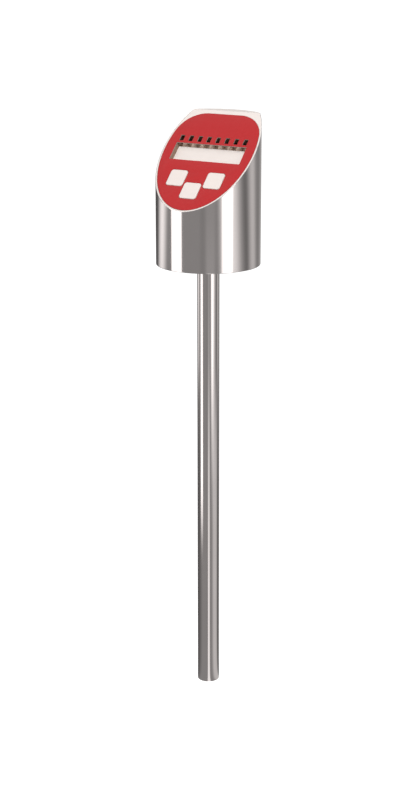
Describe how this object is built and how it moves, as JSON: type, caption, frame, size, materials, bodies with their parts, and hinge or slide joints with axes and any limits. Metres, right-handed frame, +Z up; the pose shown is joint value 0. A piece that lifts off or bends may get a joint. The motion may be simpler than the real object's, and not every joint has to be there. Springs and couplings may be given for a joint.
{
  "type": "temperature sensor",
  "caption": "Temperature sensor: long straight steel probe under a round steel head, cut off at a slant by a red panel with push keys, a display window and indicator slots.",
  "frame": {"origin": "on the probe's axis, at the underside of the head where the probe leaves it", "axes": "+Z up along the probe's axis out of the top of the head, -Y towards the sloping panel, +X to the right of someone who reads the panel"},
  "size_m": [0.0464, 0.0568, 0.2655],
  "materials": {
    "polished_steel": "polished stainless steel with faint drawn lines",
    "screw_steel": "plain machined steel",
    "white_plastic": "smooth moulded off-white",
    "red_coating": "satin red coating, bare metal at the cut edges",
    "key_plastic": "smooth moulded off-white",
    "display_face": "blank off-white face",
    "indicator_lens": "milky lens, unlit",
    "black_rubber": "soft dark rubber",
    "brown_foam": "soft closed-cell foam",
    "circuit_board": "brown solder mask",
    "black_plastic": "moulded black",
    "ribbon_plastic": "grey flat cable",
    "contact_metal": "gold-coloured plating",
    "pale_metal": "plain drawn aluminium",
    "insulator_ceramic": "unglazed white ceramic"
  },
  "bodies": {
    "housing": {"housing_tube": "polished_steel", "base_plate": "polished_steel", "probe_sheath": "polished_steel", "connector_shell": "polished_steel", "bezel_screws": "screw_steel", "carrier_screws": "screw_steel", "front_bezel": "white_plastic", "front_plate": "red_coating", "display": "display_face", "indicator_leds": "indicator_lens", "bezel_seal": "black_rubber", "insert_seal": "black_rubber", "indicator_gasket": "black_rubber", "aperture_gasket": "brown_foam", "display_board": "circuit_board", "main_board": "circuit_board", "board_carrier": "black_plastic", "processor_chip": "black_plastic", "output_drivers": "black_plastic", "lead_terminal": "black_plastic", "display_ribbon_socket": "black_plastic", "main_ribbon_socket": "black_plastic", "connector_insert": "black_plastic", "switch_left": "black_plastic", "switch_middle": "black_plastic", "switch_right": "black_plastic", "ribbon_cable": "ribbon_plastic", "connector_pins": "contact_metal", "sensor_leads": "contact_metal", "tip_bush": "pale_metal", "smoothing_capacitor": "pale_metal", "sensing_element": "insulator_ceramic", "lead_insulator": "insulator_ceramic"},
    "left_key": {"key_left": "key_plastic", "plunger_left": "black_plastic"},
    "middle_key": {"key_middle": "key_plastic", "plunger_middle": "black_plastic"},
    "right_key": {"key_right": "key_plastic", "plunger_right": "black_plastic"}
  },
  "joints": [
    {"name": "left_key_press", "type": "slide", "parent": "housing", "child": "left_key", "axis": [0, 0.7071, -0.7071], "range_m": [0, 0.0003], "stiffness_N_per_m": 1000, "springref_m": -0.0005},
    {"name": "middle_key_press", "type": "slide", "parent": "housing", "child": "middle_key", "axis": [0, 0.7071, -0.7071], "range_m": [0, 0.0003], "stiffness_N_per_m": 1000, "springref_m": -0.0005},
    {"name": "right_key_press", "type": "slide", "parent": "housing", "child": "right_key", "axis": [0, 0.7071, -0.7071], "range_m": [0, 0.0003], "stiffness_N_per_m": 1000, "springref_m": -0.0005}
  ]
}
